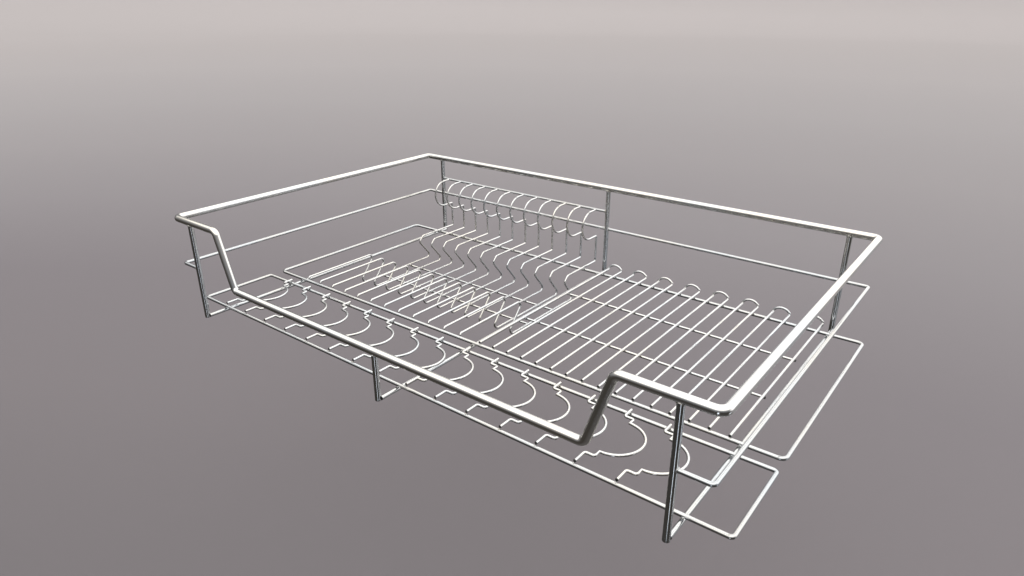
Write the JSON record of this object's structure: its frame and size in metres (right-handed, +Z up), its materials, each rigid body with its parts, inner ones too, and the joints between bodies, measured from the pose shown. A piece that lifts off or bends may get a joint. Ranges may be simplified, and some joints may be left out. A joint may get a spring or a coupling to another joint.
{
  "type": "dish drying rack",
  "caption": "Wide open basket of bright round wire that holds bowls, plates and cups to drain, with a lowered front edge, a sunken bowl bay at the left and a cup shelf in front.",
  "frame": {"origin": "centre of the six posts' footprint, at the level of the posts' flat lower ends; the bowl trough hangs below it", "axes": "+X right along the rack's length, +Y from the lowered front edge to the back, +Z up"},
  "size_m": [0.7916, 0.4929, 0.1779],
  "materials": {
    "rim_steel": "polished",
    "frame_steel": "polished",
    "wire_steel": "polished"
  },
  "bodies": {
    "root": {"top_rim": "rim_steel", "post_front_left": "frame_steel", "post_front_middle": "frame_steel", "post_front_right": "frame_steel", "post_rear_left": "frame_steel", "post_rear_middle": "frame_steel", "post_rear_right": "frame_steel", "crossbar_left": "frame_steel", "crossbar_middle": "frame_steel", "crossbar_right": "frame_steel", "mid_rail_left_end": "frame_steel", "mid_rail_right_end": "frame_steel", "mid_rail_rear_left": "frame_steel", "mid_rail_rear_right": "frame_steel", "bowl_hook_rail": "frame_steel", "front_tray_frame": "frame_steel", "rear_tray_frame": "frame_steel", "front_loop_wire_01": "wire_steel", "front_loop_wire_02": "wire_steel", "front_loop_wire_03": "wire_steel", "front_loop_wire_04": "wire_steel", "front_loop_wire_05": "wire_steel", "front_loop_wire_06": "wire_steel", "front_loop_wire_07": "wire_steel", "front_loop_wire_08": "wire_steel", "front_loop_wire_09": "wire_steel", "front_loop_wire_10": "wire_steel", "front_loop_wire_11": "wire_steel", "front_loop_wire_12": "wire_steel", "front_loop_wire_13": "wire_steel", "front_loop_wire_14": "wire_steel", "front_loop_wire_15": "wire_steel", "bowl_wire_01": "wire_steel", "bowl_wire_02": "wire_steel", "bowl_wire_03": "wire_steel", "bowl_wire_04": "wire_steel", "bowl_wire_05": "wire_steel", "bowl_wire_06": "wire_steel", "bowl_wire_07": "wire_steel", "bowl_wire_08": "wire_steel", "bowl_wire_09": "wire_steel", "bowl_wire_10": "wire_steel", "bowl_wire_11": "wire_steel", "bowl_wire_12": "wire_steel", "plate_hairpin_1": "wire_steel", "plate_hairpin_2": "wire_steel", "plate_hairpin_3": "wire_steel", "plate_hairpin_4": "wire_steel", "plate_hairpin_5": "wire_steel", "plate_hairpin_6": "wire_steel", "plate_hairpin_7": "wire_steel", "plate_hairpin_8": "wire_steel", "trough_tie_front": "wire_steel", "trough_tie_rear": "wire_steel", "plate_tie_front": "wire_steel", "plate_tie_rear": "wire_steel"}
  },
  "joints": []
}
